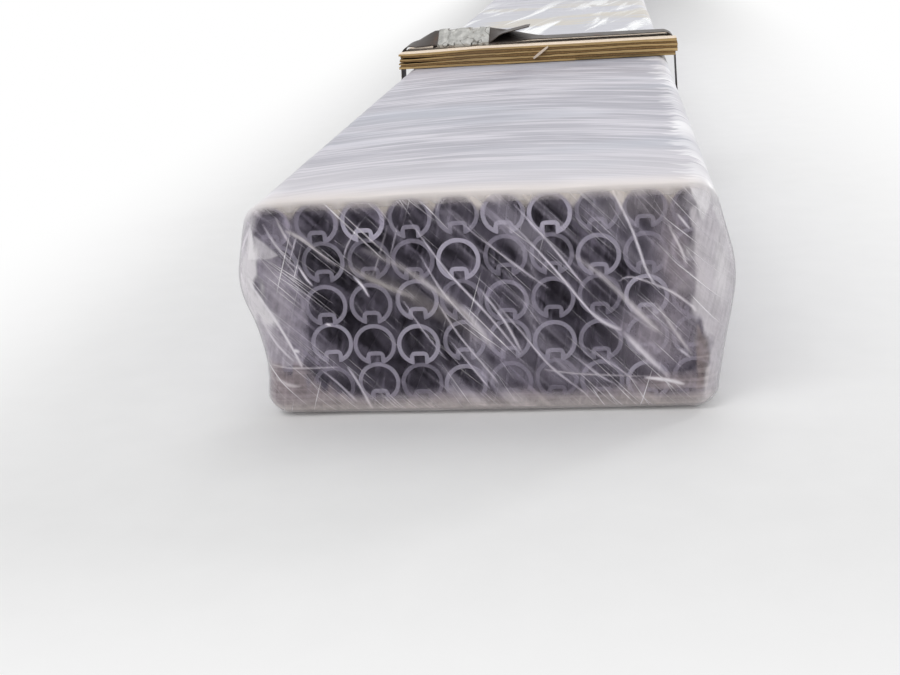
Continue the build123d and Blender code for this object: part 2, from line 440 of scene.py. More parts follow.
def sealSteel():
    finish = Finish("sealSteel")
    dents = finish.noise(240, detail=3)
    wear = finish.noise(90, detail=5, roughness=0.7)
    wrinkle = finish.noise((62, 40, 40), detail=1, distortion=0.3) - 0.5
    body = finish.mixed(dents, *sealLooks["zinc"])
    body = finish.mixed(wear.step(0.54, 0.7) * 0.8, body, sealLooks["wear"])
    # Dark lines along the wrinkles are painted shade in the seal's folds.
    folded = 1 - wrinkle.size().step(0.002, 0.022)
    body = finish.mixed(folded * 0.75, body, sealLooks["fold"])
    return finish.surface(Base_Color=body, Metallic=0.6, Roughness=0.34 + 0.25 * wear,
                          Normal=finish.bump(dents, 0.0005, 0.7))


finishes = {make.__name__: make() for make in
            (tubeSteel, woundFilm, clearFilm, plywood, bandSteel, sealSteel)}
print("finishes made:", ", ".join(finishes))


def placed(name, data):
    made = bpy.data.objects.new(name, data)
    bpy.context.scene.collection.objects.link(made)
    return made


def settle(name, mesh, finish, nodes, sharp=None):
    # Puts a finished mesh in the scene and stands it in for its nodes.
    piece = placed(name, mesh)
    mesh.materials.clear()
    mesh.materials.append(finishes[finish])
    mesh.shade_smooth()
    if sharp:
        mesh.set_sharp_from_angle(angle=math.radians(sharp))
    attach(piece, "root")
    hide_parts(*nodes)
    return piece


def meshPiece(name, points, faces, finish, nodes, attributes, sharp=None):
    mesh = bpy.data.meshes.new(name)
    mesh.from_pydata(np.asarray(points).tolist(), [], faces)
    for key, values in attributes.items():
        made = mesh.attributes.new(key, "FLOAT", "POINT")
        made.data.foreach_set("value", np.asarray(values, np.float32).ravel())
    return settle(name, mesh, finish, nodes, sharp)


# The tubes
tubeSizes = {
    "columns": 10,
    "rows": 5,
    "wall": 2.8 * mm,
    "grooveMouth": 6.6 * mm,
    "grooveDepth": 6.4 * mm,
    "lipRadius": 0.8 * mm,
    "boreLipRadius": 0.3 * mm,
    "floorRadius": 0.6 * mm,
    "sawnChamfer": 0.25 * mm,
    "crownSteps": 44,
    "cornerSteps": 4,
    "seed": 4,
}
rowBoxes = [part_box(f"tube_row_{row + 1}") for row in range(tubeSizes["rows"])]
tubeRadius = (rowBoxes[0][1].z - rowBoxes[0][0].z) / 2
outerColumn = rowBoxes[0][1].x - tubeRadius
columnPitch = 2 * outerColumn / (tubeSizes["columns"] - 1)
columnPlaces = [column * columnPitch - outerColumn for column in range(tubeSizes["columns"])]
rowHeights = [(low.z + high.z) / 2 for low, high in rowBoxes]


def tubeEnds():
    # The front and back end of every tube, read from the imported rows.
    ends = {}
    for row in range(tubeSizes["rows"]):
        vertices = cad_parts[f"tube_row_{row + 1}"].data.vertices
        points = np.array([vertex.co for vertex in vertices])
        for column, place in enumerate(columnPlaces):
            own = points[np.abs(points[:, 0] - place) < tubeRadius]
            ends[row, column] = (own[:, 1].min(), own[:, 1].max())
    return ends


ends = tubeEnds()
halfLength = (ends[0, 0][1] - ends[0, 0][0]) / 2


def grooveOutline(inset, lip):
    # The tube's section: round, with a channel folded in along the underside.
    radius = tubeRadius - inset
    mouth = tubeSizes["grooveMouth"] / 2 + inset
    floor = tubeSizes["grooveDepth"] - tubeRadius + inset
    corner = tubeSizes["floorRadius"] + inset
    lipX = mouth + lip
    lipZ = -math.sqrt((radius - lip) ** 2 - lipX ** 2)
    start = math.atan2(lipZ, lipX)
    few = tubeSizes["cornerSteps"]

    def arc(x, z, size, first, last, steps):
        turns = np.linspace(first, last, steps)
        return [(x + size * math.cos(turn), z + size * math.sin(turn)) for turn in turns]

    outline = arc(0, 0, radius, start, math.pi - start, tubeSizes["crownSteps"])
    outline += arc(-lipX, lipZ, lip, math.pi - start, 2 * math.pi, few)[1:]
    outline += arc(corner - mouth, floor - corner, corner, math.pi, math.pi / 2, few)
    outline += arc(mouth - corner, floor - corner, corner, math.pi / 2, 0, few)
    outline += arc(lipX, lipZ, lip, math.pi, 2 * math.pi + start, few)[:-1]
    return np.array(outline)


def tubeBlank(length):
    # One tube along Y, closed from wall to wall, with its sawn ends marked.
    wall, chamfer = tubeSizes["wall"], tubeSizes["sawnChamfer"]
    lip, boreLip = tubeSizes["lipRadius"], tubeSizes["boreLipRadius"]
    half = length / 2
    rings = [(0, lip, half - chamfer), (0, lip, chamfer - half), (chamfer, lip, -half),
             (wall - chamfer, boreLip, -half), (wall, boreLip, chamfer - half),
             (wall, boreLip, half - chamfer), (wall - chamfer, boreLip, half),
             (chamfer, lip, half)]
    points, faces, cut = [], [], []
    for inset, corner, y in rings:
        points += [(x, y, z) for x, z in grooveOutline(inset, corner)]
    count = len(points) // len(rings)
    for ring in range(len(rings)):
        after = (ring + 1) % len(rings)
        for place in range(count):
            side = (place + 1) % count
            faces.append((ring * count + place, after * count + place,
                          after * count + side, ring * count + side))
            cut.append(1.0 if ring in (1, 2, 3, 5, 6, 7) else 0.0)
    mesh = bpy.data.meshes.new("tubeBlank")
    mesh.from_pydata(points, [], faces)
    mesh.attributes.new("cutEnd", "FLOAT", "FACE").data.foreach_set("value", cut)
    return placed("tubeBlank", mesh)


def rowTree():
    # Sets a tube on every point of a row and gives each its own tone of zinc.
    tree = bpy.data.node_groups.new("tubeRow", "GeometryNodeTree")
    kinds = {"Geometry": "Geometry", "Tube": "Object", "Finish": "Material", "Seed": "Int"}
    for name, kind in kinds.items():
        tree.interface.new_socket(name, in_out="INPUT", socket_type=f"NodeSocket{kind}")
    tree.interface.new_socket("Geometry", in_out="OUTPUT", socket_type="NodeSocketGeometry")
    graph = Graph(tree)
    take = {name: graph.add("NodeGroupInput", output=name) for name in kinds}
    tube = graph.add("GeometryNodeObjectInfo", None, {"Object": take["Tube"]}, "Geometry")
    tubes = graph.add("GeometryNodeInstanceOnPoints", None,
                      {"Points": take["Geometry"], "Instance": tube})
    tone = graph.add("FunctionNodeRandomValue", {"data_type": "FLOAT"},
                     {"Seed": take["Seed"]}, 1)
    toned = graph.add("GeometryNodeStoreNamedAttribute",
                      {"data_type": "FLOAT", "domain": "INSTANCE"},
                      {"Geometry": tubes, "Name": "tone", "Value": tone})
    real = graph.add("GeometryNodeRealizeInstances", None, {"Geometry": toned})
    done = graph.add("GeometryNodeSetMaterial", None,
                     {"Geometry": real, "Material": take["Finish"]})
    graph.add("NodeGroupOutput", None, {0: done})
    return tree


def grown(points, tree, values):
    # Runs a node tree on some points and hands back the plain mesh.
    mesh = bpy.data.meshes.new("seedPoints")
    mesh.from_pydata(points, [], [])
    seed = placed("seedPoints", mesh)
    grow = seed.modifiers.new("grow", "NODES")
    grow.node_group = tree
    sockets = {item.name: item.identifier for item in tree.interface.items_tree
               if item.in_out == "INPUT"}
    for name, value in values.items():
        grow[sockets[name]] = value
    graph = bpy.context.evaluated_depsgraph_get()
    graph.update()
    result = bpy.data.meshes.new_from_object(seed.evaluated_get(graph))
    seed.modifiers.remove(grow)
    bpy.data.objects.remove(seed)
    return result


def stackTubes():
    tree = rowTree()
    front, back = ends[0, 0]
    blank = tubeBlank(back - front)
    for row in range(tubeSizes["rows"]):
        points = [(place, sum(ends[row, column]) / 2, rowHeights[row])
                  for column, place in enumerate(columnPlaces)]
        mesh = grown(points, tree, {"Tube": blank, "Finish": finishes["tubeSteel"],
                                    "Seed": tubeSizes["seed"] + row})
        settle(f"tubeLayer{row + 1}", mesh, "tubeSteel", [f"tube_row_{row + 1}"],
               sharp=35)
    bpy.data.objects.remove(blank)
    print("tubes stacked:", tubeSizes["rows"] * tubeSizes["columns"])


stackTubes()

# The film's section: a belt round the corner tubes that bellies out at the sides.
sleeveLow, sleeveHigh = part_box("film_sleeve")
wrapSizes = {
    "bellyRadius": 71.2 * mm,
    "bellyAboveMiddle": 12.0 * mm,
    "cornerSteps": 11,
    "bellySteps": 12,
    "wallSteps": 5,
    "topSteps": 34,
    "bottomSteps": 16,
    "drawnIn": 4.2 * mm,            # at the most, at the lower left of the front end
    "drawnLow": (8 * mm, 32 * mm),  # over these heights it grows and falls off again
    "drawnHigh": (92 * mm, 36 * mm),
    "drawnAside": (0, -100 * mm),
    "drawnAway": (320 * mm, 60 * mm),
}
cornerRadius = sleeveHigh.z - rowHeights[-1]
bellyHeight = (rowHeights[0] + rowHeights[-1]) / 2 + wrapSizes["bellyAboveMiddle"]


def wrapOutline():
    # Points and outward normals of the film's section, anticlockwise from the lower right.
    bellyX = sleeveHigh.x - wrapSizes["bellyRadius"]
    right = [(outerColumn, rowHeights[0], cornerRadius, wrapSizes["cornerSteps"]),
             (bellyX, bellyHeight, wrapSizes["bellyRadius"], wrapSizes["bellySteps"]),
             (outerColumn, rowHeights[-1], cornerRadius, wrapSizes["cornerSteps"])]
    left = [(-x, z, radius, steps) for x, z, radius, steps in right[::-1]]
    pulleys = right + left
    count = len(pulleys)
    turns = []
    for first in range(count):
        x0, z0, r0 = pulleys[first][:3]
        x1, z1, r1 = pulleys[(first + 1) % count][:3]
        reach = math.hypot(x1 - x0, z1 - z0)
        turns.append(math.atan2(z1 - z0, x1 - x0) - math.acos((r0 - r1) / reach))
    points, normals = [], []
    lineSteps = [wrapSizes[key] for key in
                 ("wallSteps", "wallSteps", "topSteps", "wallSteps", "wallSteps", "bottomSteps")]
    for place, (x, z, radius, steps) in enumerate(pulleys):
        start = turns[place - 1]
        sweep = (turns[place] - start) % (2 * math.pi)
        for turn in np.linspace(start, start + sweep, steps):
            normals.append((math.cos(turn), math.sin(turn)))
            points.append((x + radius * math.cos(turn), z + radius * math.sin(turn)))
        nextX, nextZ, nextRadius = pulleys[(place + 1) % count][:3]
        way = np.array(normals[-1])
        goal = np.array([nextX, nextZ]) + nextRadius * way
        here = np.array(points[-1])
        for share in np.linspace(0, 1, lineSteps[place] + 2)[1:-1]:
            points.append(tuple(here + share * (goal - here)))
            normals.append(tuple(way))
    return np.array(points), np.array(normals)


def drawnIn(x, z, away):
    # Near the front end the film lies closer to the lower left tubes than the belt does.
    low = smooth(*wrapSizes["drawnLow"], z) * smooth(*wrapSizes["drawnHigh"], z)
    low = low * wrapSizes["drawnIn"] * smooth(*wrapSizes["drawnAside"], x)
    return low * smooth(*wrapSizes["drawnAway"], away)


def halfWidthAt(heights):
    # How far the film's section reaches sideways at each height.
    points, _ = wrapOutline()
    side = points[points[:, 0] > 0]
    order = np.argsort(side[:, 1])
    return np.interp(heights, side[order, 1], side[order, 0])


# The film drawn tight over an end of the stack.
endSizes = {
    "columns": 430,
    "rows": 202,
    "rimReach": 5.0 * mm,       # how far the film's rim stands in front of the mean tube end
    "clearance": 0.9 * mm,      # between the film and the tube ends it hangs on
    "sideRound": 20.0 * mm,
    "topRound": 6.0 * mm,
    "bottomRound": 7.0 * mm,
    "tentSlope": 0.32,          # how steeply the film falls away round a tube that stands out
    "straightFold": 38 * mm,
    "foldBlend": 8 * mm,        # above and below the bottom row's axes, where that fold fades
    "foldEdge": 7 * mm,         # below the axes, from where the film is held out straight
    "foldSlack": 0.4 * mm,
    "rim": 0.5 * mm,            # between the sheet's edge and the sleeve's outside
    "behindSleeve": 1.2 * mm,
    "coarseStep": 4,
    "coarseRounds": 700,
    "fineRounds": 160,
}
frontPlane = -halfLength - endSizes["rimReach"]


def roundingFor(x, z):
    # The film turns broadly round the sides and tightly round the top and the bottom.
    share = np.clip(np.abs(x) / outerColumn, 0, 1) ** 6
    low = smooth(bellyHeight, rowHeights[0], z)
    flat = endSizes["topRound"] * (1 - low) + endSizes["bottomRound"] * low
    nearTop = smooth(rowHeights[-1] - tubeRadius, rowHeights[-1] + tubeRadius, z)
    nearBottom = smooth(rowHeights[0] + tubeRadius, rowHeights[0] - tubeRadius, z)
    side = share * (1 - nearTop) * (1 - 0.5 * nearBottom)
    return flat + (endSizes["sideRound"] - flat) * side


def depthInside(x, z):
    # Distance in from the film's outline, close enough for the rounding.
    points, normals = wrapOutline()
    depth = np.full(x.shape, 1.0)
    for point, normal in zip(points, normals):
        depth = np.minimum(depth, (point[0] - x) * normal[0] + (point[1] - z) * normal[1])
    return np.maximum(depth, 0)


def roundedOff(depth, radius):
    inside = np.clip(radius - depth, 0, radius)
    return radius - np.sqrt(np.maximum(radius ** 2 - inside ** 2, 0))


def relax(sheet, floor, rounds):
    for _ in range(rounds):
        middle = (sheet[1:-1, :-2] + sheet[1:-1, 2:] + sheet[:-2, 1:-1] + sheet[2:, 1:-1]) / 4
        sheet[1:-1, 1:-1] = np.maximum(middle, floor[1:-1, 1:-1])
    return sheet


def endSheetShape(side):
    # How far the tight film stands out past the plane of the tube ends, on a grid of x and z.
    rows, columns = endSizes["rows"], endSizes["columns"]
    rim = endSizes["rim"]
    z = np.linspace(sleeveLow.z + rim, sleeveHigh.z - rim, rows)
    width = halfWidthAt(z) - rim
    x = np.linspace(-1, 1, columns)[None, :] * width[:, None]
    z = np.repeat(z[:, None], columns, axis=1)
    turned = roundedOff(depthInside(x, z), roundingFor(x, z))
    lowest = np.full(x.shape, -1.0)
    tented = np.full(x.shape, endSizes["rimReach"])
    for (row, column), pair in ends.items():
        stand = max(side * end for end in pair) - halfLength + endSizes["clearance"]
        away = np.hypot(x - columnPlaces[column], z - rowHeights[row]) - tubeRadius
        lowest = np.where(away < 0, np.maximum(lowest, stand + turned), lowest)
        tented = np.maximum(tented, stand + turned - endSizes["tentSlope"] * np.maximum(away, 0))
    # Under the bottom row the film is pulled straight, over the tubes that stand out most.
    reach = np.max(np.where(z < rowHeights[0], lowest - turned, 0), axis=0)
    near = int(endSizes["straightFold"] / (x[0, 1] - x[0, 0]))
    spread = np.array([reach[max(0, c - near):c + near + 1].max() for c in range(columns)])
    weights = np.hanning(2 * near + 1)
    spread = np.convolve(np.pad(spread, near, "edge"), weights / weights.sum(), "valid")
    fold = smooth(rowHeights[0] + endSizes["foldBlend"], rowHeights[0] - endSizes["foldBlend"], z)
    tented = np.maximum(tented, (spread[None, :] + turned) * fold)
    under, slack = z < rowHeights[0] - endSizes["foldEdge"], endSizes["foldSlack"]
    lowest = np.maximum(lowest, (spread[None, :] + turned - slack) * under)
    step = endSizes["coarseStep"]
    sheet = np.maximum(tented, lowest)
    rough = relax(sheet[::step, ::step].copy(), lowest[::step, ::step], endSizes["coarseRounds"])
    rowPlaces, columnSpots = np.arange(0, rows, step), np.arange(0, columns, step)
    wide = np.array([np.interp(np.arange(columns), columnSpots, line) for line in rough])
    full = np.array([np.interp(np.arange(rows), rowPlaces, line) for line in wide.T]).T
    inside = (slice(1, -1), slice(1, -1))
    sheet[inside] = np.maximum(full, lowest)[inside]
    return x, z, turned, relax(sheet, lowest, endSizes["fineRounds"]), lowest


# Main creases in the front sheet, followed across the photographed end, in its pixels:
# route, width in millimetres, strength, and how cream it is.
creaseRoutes = {
    "leftLong": (((253, 274), (272, 308), (292, 346), (301, 363)), 0.9, 0.9, 0.0),
    "leftShort": (((261, 316), (274, 339), (292, 357)), 0.8, 0.6, 0.0),
    "leftSteep": (((274, 230), (292, 256), (301, 265)), 0.8, 0.5, 0.1),
    "creamShoulder": (((290, 227), (308, 238), (336, 263)), 1.6, 0.5, 0.7),
    "creamMiddle": (((347, 264), (381, 282), (416, 297)), 3.0, 0.30, 0.9),
    "creamSweep": (((365, 248), (398, 264), (430, 285), (463, 310), (489, 340)), 3.2, 0.36, 0.6),
    "paleThick": (((458, 303), (476, 322), (492, 346)), 3.4, 0.45, 0.2),
    "steepA": (((362, 220), (349, 243), (345, 257)), 0.8, 0.5, 0.0),
    "steepB": (((388, 225), (379, 258), (373, 276)), 0.8, 0.3, 0.3),
    "steepC": (((398, 225), (390, 259)), 0.7, 0.4, 0.0),
    "slantA": (((410, 220), (445, 268), (490, 316), (520, 352)), 0.9, 0.75, 0.0),
    "slantB": (((421, 256), (440, 287), (462, 312), (490, 340)), 0.8, 0.7, 0.0),
    "slantC": (((404, 300), (425, 331), (447, 357)), 0.7, 0.55, 0.0),
    "slantD": (((437, 300), (459, 333), (490, 369), (500, 381)), 0.9, 0.65, 0.1),
    "slantE": (((451, 339), (479, 372), (491, 386)), 1.0, 0.6, 0.0),
    "slantF": (((446, 209), (479, 237), (497, 251)), 0.7, 0.5, 0.0),
    "slantG": (((480, 237), (514, 263), (549, 288)), 0.8, 0.7, 0.0),
    "slantH": (((480, 288), (504, 319), (522, 350)), 1.2, 0.7, 0.0),
    "slantI": (((514, 204), (548, 241), (568, 265), (585, 287)), 0.9, 0.75, 0.0),
    "slantJ": (((510, 221), (548, 261), (590, 310), (600, 319)), 0.9, 0.85, 0.0),
    "slantK": (((490, 295), (522, 331), (551, 364), (587, 391)), 0.9, 0.6, 0.1),
    "slantL": (((564, 346), (598, 371), (615, 381)), 0.8, 0.55, 0.0),
    "slantM": (((575, 339), (615, 363), (637, 380)), 0.8, 0.5, 0.0),
    "slantEnd": (((590, 309), (603, 320), (620, 328)), 1.8, 0.75, 0.0),
    "broadRight": (((571, 253), (605, 278), (640, 312), (658, 328)), 2.6, 0.42, 0.4),
    "broadLow": (((624, 331), (641, 348), (668, 373)), 2.2, 0.55, 0.1),
    "brightUpright": (((612, 189), (632, 229), (647, 270), (659, 287)), 1.3, 0.75, 0.0),
    "hookRight": (((619, 280), (632, 276), (666, 287), (690, 302), (695, 308)), 0.9, 0.6, 0.2),
    "rightShort": (((677, 213), (690, 228)), 0.9, 0.7, 0.0),
    "leftRim": (((256, 222), (247, 243), (241, 262)), 0.8, 0.9, 0.0),
    "leftRimLow": (((241, 264), (249, 284)), 0.7, 0.7, 0.0),
    "shoulderA": (((268, 219), (280, 240), (292, 258)), 0.8, 0.55, 0.1),
    "shoulderB": (((280, 213), (287, 228), (297, 246)), 0.8, 0.5, 0.3),
    "shoulderC": (((300, 232), (297, 243), (292, 262)), 0.7, 0.5, 0.0),
    "cornerLine": (((268, 362), (300, 364), (340, 364)), 0.8, 0.4, 0.2),
    "cornerFold": (((272, 374), (288, 380), (300, 382)), 1.3, 0.4, 0.3),
    "rightInner": (((668, 224), (680, 246), (686, 262)), 1.0, 0.5, 0.2),
    "rightLowA": (((655, 300), (676, 330), (692, 352)), 1.3, 0.35, 0.3),
    "rightLowB": (((678, 345), (690, 354)), 1.0, 0.5, 0.0),
    "footLine": (((544, 367), (581, 371), (649, 373)), 0.8, 0.4, 0.3),
    "fanA": (((324, 368), (341, 381), (359, 398)), 0.9, 0.5, 0.0),
    "fanB": (((349, 364), (360, 380), (374, 405)), 1.3, 0.6, 0.0),
}
# Short bright folds that catch the light, their glints painted in as white marks.
glintRoutes = {
    "leftNick": (((292, 346), (298, 348)), 1.2, 1.0, 0.0),
    "leftFlash": (((301, 262), (308, 274), (315, 283)), 0.9, 1.0, 0.0),
    "middleFlash": (((355, 275), (363, 284), (370, 295)), 1.0, 1.0, 0.0),
    "grooveFlash": (((327, 321), (333, 323)), 1.2, 0.9, 0.2),
    "footFlash": (((645, 374), (666, 376), (683, 380)), 1.3, 1.0, 0.0),
    "shoulderFlash": (((256, 224), (256, 236)), 0.9, 0.9, 0.0),
}
# Soft clouds in the front sheet, placed in the same pixels:
# centre, half sizes, slant in degrees, and what the film is like there.
filmClouds = {
    "leftFrost": ((281, 300), (21, 66), 4, {"frost": 0.70}),
    "leftShoulder": ((284, 236), (17, 26), -30, {"frost": 0.34}),
    "leftFoot": ((322, 352), (32, 16), -30, {"frost": 0.30}),
    "middleSmoke": ((497, 338), (58, 15), -42, {"frost": 0.26}),
    "upperSmoke": ((420, 300), (60, 9), -33, {"frost": 0.20, "cream": 0.5}),
    "lowSmoke": ((560, 372), (70, 13), -4, {"frost": 0.26}),
    "rightSmoke": ((660, 330), (38, 42), -45, {"frost": 0.52, "beigeAndShade": 0.25}),
    "rightUpperSmoke": ((678, 256), (22, 64), 8, {"frost": 0.56, "beigeAndShade": 0.45}),
    "rightCorner": ((672, 378), (46, 10), 3, {"frost": 0.62, "beigeAndShade": 0.7}),
    "rightCrinkle": ((697, 200), (17, 15), 0, {"frost": 0.6, "whiteAndGlare": 0.35}),
    "rightGlow": ((722, 268), (13, 56), 0, {"frost": 0.97, "whiteAndGlare": 0.85}),
    "topRow": ((640, 205), (34, 14), 0, {"frost": 0.12, "cream": 0.3}),
}
# Flat facets of the same sheet: corner pixels, softness of the edge in pixels, and their look.
# Their white is partly painted glare, wholly so in the left triangle, the corner and the right rim.
filmFacets = {
    "leftFlapHigh": (((257, 218), (246, 240), (237, 263), (243, 300), (247, 318), (276, 318),
                     (265, 298), (262, 280), (262, 252), (260, 230)), 9,
                     {"frost": 0.97, "whiteAndGlare": 0.75}),
    "leftFlap": (((240, 285), (243, 300), (251, 335), (262, 366), (284, 364), (302, 361),
                 (292, 345), (276, 318), (265, 298), (262, 285)), 2.0,
                 {"frost": 0.78, "whiteAndGlare": 0.0}),
    "leftGlare": (((257, 222), (261, 254), (253, 254)), 0.8, {"frost": 1.0, "whiteAndGlare": 1.0}),
    "leftNick": (((259, 229), (272, 240), (283, 251), (273, 254), (260, 254)), 1.4,
                 {"frost": 0.8, "whiteAndGlare": 0.42}),
    "leftHaze": (((262, 256), (284, 253), (300, 268), (305, 300), (313, 345), (301, 362),
                 (276, 318), (265, 300)), 8, {"frost": 0.5}),
    "leftCorner": (((262, 363), (300, 364), (318, 380), (350, 392), (362, 414), (276, 414),
                   (262, 392)), 8, {"frost": 0.6, "beigeAndShade": 0.8}),
    "rightSheet": (((691, 206), (712, 186), (745, 215), (752, 262), (748, 300), (738, 340),
                   (726, 390), (703, 402), (704, 384), (708, 366), (709, 352), (704, 336),
                   (695, 322), (689, 300), (686, 270), (689, 248), (694, 228)), 8,
                   {"frost": 0.92, "whiteAndGlare": 0.46}),
    "cornerGlare": (((690, 184), (708, 184), (715, 196), (709, 208), (703, 220), (698, 206)), 2.0,
                    {"frost": 0.9, "whiteAndGlare": 0.95}),
    "rightRimGlare": (((716, 194), (728, 216), (738, 245), (742, 268), (733, 268), (725, 240),
                 (713, 208)), 2.5, {"frost": 1.0, "whiteAndGlare": 1.0}),
    "rightBrown": (((697, 322), (706, 337), (711, 353), (707, 384), (693, 386), (695, 350)), 2.5,
                   {"frost": 0.6, "beigeAndShade": 1.0}),
}
sheetLooks = {
    "foldSlant": -46,               # degrees
    "foldSize": (7 * mm, 70 * mm),  # across and along
    "foldHeight": 0.9 * mm,
    "backFoldSlants": (-52, -38, 64),
    "backFoldSize": (13 * mm, 110 * mm),
    "backFoldHeight": 0.6 * mm,
    "slackHeight": 0.5 * mm,
    "haze": 0.085,
    "ringHaze": 0.17,
    "ringSoftness": 2.8 * mm,
    "leftMargin": (7 * mm, 15 * mm),
    "rightMargin": (5 * mm, 29 * mm),
    "topMargin": (2.0 * mm, 10 * mm),
    "crownGaps": (6 * mm, 17 * mm),
    "bottomMargin": (7 * mm, 19 * mm),
    "marginAside": 40 * mm,         # from the middle, where the side margins have their full say
    "marginWaver": 7 * mm,
    "rightRagged": 14.4 * mm,
    "gapEdge": (-1.5 * mm, 1.0 * mm),   # about the tubes' outside
    "ringNear": (2.5 * mm, 0.3 * mm),   # distance of the film at which a ring shows through
    "highlightRise": (30 * mm, 80 * mm),
    "rimFade": 6 * mm,              # over which the folds flatten towards the edge
    "sink": 0.5 * mm,               # how far a fold may dip below the tight film
    "drawnFrom": 0.55,              # share of the half width where the drawing in begins
}


def smoothRoute(points, steps=9):
    # A Catmull-Rom curve through a few points.
    p = np.array([points[0], *points, points[-1]], float)
    line = []
    for a, b, c, d in zip(p, p[1:], p[2:], p[3:]):
        for t in np.linspace(0, 1, steps)[:-1]:
            line.append(((2 * b) + (c - a) * t + (2 * a - 5 * b + 4 * c - d) * t * t
                         + (3 * b - a - 3 * c + d) * t ** 3) / 2)
    return np.array([*line, p[-1]])


def toSegment(x, z, a, b):
    # Distance from each point to a straight piece, and how far along the piece that is.
    step = b - a
    t = np.clip(((x - a[0]) * step[0] + (z - a[1]) * step[1]) / (step @ step + 1e-12), 0, 1)
    return np.hypot(x - a[0] - t * step[0], z - a[1] - t * step[1]), t


def distanceTo(x, z, route, reach):
    # Distance from each grid point to a route, and how far along it that is.
    near = np.full(x.shape, reach)
    along = np.zeros(x.shape)
    low, high = route.min(0) - reach, route.max(0) + reach
    close = (x > low[0]) & (x < high[0]) & (z > low[1]) & (z < high[1])
    px, pz, best, share = x[close], z[close], near[close], along[close]
    for place, (a, b) in enumerate(zip(route, route[1:])):
        away, t = toSegment(px, pz, a, b)
        share = np.where(away < best, (place + t) / (len(route) - 1), share)
        best = np.minimum(away, best)
    near[close], along[close] = best, share
    return near, along


def creaseMarks(x, z):
    lift, mark, cream = np.zeros(x.shape), np.zeros(x.shape), np.zeros(x.shape)
    for routes in (creaseRoutes, glintRoutes):
        for pixels, width, strength, tint in routes.values():
            places = [onEndFace(*pixel, frontPlane) for pixel in pixels]
            near, along = distanceTo(x, z, smoothRoute(places), 5 * width * mm)
            taper = np.sin(np.pi * np.clip(along * 0.9 + 0.05, 0, 1)) ** 0.6
            size = width * mm * (0.40 + 0.35 * taper)
            band = np.exp(-(near / size) ** 2) * taper
            lift += np.exp(-(near / (1.6 * size)) ** 2) * taper * min(width, 2) * 0.25 * mm
            mark = np.maximum(mark, strength * band)
            cream = np.maximum(cream, tint * band)
    return lift, mark, cream


def addMarks(marks, shares, soft):
    for name, share in shares.items():
        marks[name] = np.maximum(marks[name], share * soft)


def addClouds(x, z, marks, seed):
    # Adds the soft clouds to the film's marks, with ragged edges.
    for place, (centre, size, slant, shares) in enumerate(filmClouds.values()):
        middle, beside = [np.array(onEndFace(centre[0] + step, centre[1], frontPlane))
                          for step in (0, 1)]
        pixel = np.linalg.norm(beside - middle)
        turn = math.radians(slant)
        u = (x - middle[0]) * math.cos(turn) + (z - middle[1]) * math.sin(turn)
        v = (z - middle[1]) * math.cos(turn) - (x - middle[0]) * math.sin(turn)
        away = (u / size[0] / pixel) ** 2 + (v / size[1] / pixel) ** 2
        ragged = valueNoise(u * 160, v * 60, seed + place)
        soft = np.exp(-away ** 1.4 * (0.45 + 0.9 * ragged))
        addMarks(marks, shares, soft)


def addFacets(x, z, marks, seed):
    # Adds the facets, each a polygon with a slightly ragged edge.
    column, row = photoView["endMiddle"]
    pixel = onEndFace(column + 1, row, frontPlane)[0] - onEndFace(column, row, frontPlane)[0]
    for place, (corners, softness, shares) in enumerate(filmFacets.values()):
        spots = np.array([onEndFace(*corner, frontPlane) for corner in corners])
        inside = np.zeros(x.shape, bool)
        near = np.full(x.shape, 1.0)
        for a, b in zip(spots, np.roll(spots, -1, axis=0)):
            crosses = (a[1] > z) != (b[1] > z)
            slope = (b[0] - a[0]) / (b[1] - a[1] + 1e-12)
            inside ^= crosses & (x < a[0] + (z - a[1]) * slope)
            near = np.minimum(near, toSegment(x, z, a, b)[0])
        ragged = (valueNoise(x * 260, z * 90, seed + place) - 0.5) * 2.2 * softness * pixel
        soft = smooth(-softness * pixel, softness * pixel, np.where(inside, near, -near) + ragged)
        addMarks(marks, shares, soft)


def slantedFolds(x, z, angle, across, along, seed):
    turn = math.radians(angle)
    u = x * math.cos(turn) + z * math.sin(turn)
    v = z * math.cos(turn) - x * math.sin(turn)
    bend = 0.012 * valueNoise(u * 9, v * 9, seed + 50)
    return ridge(valueNoise(u / along, (v + bend) / across, seed))


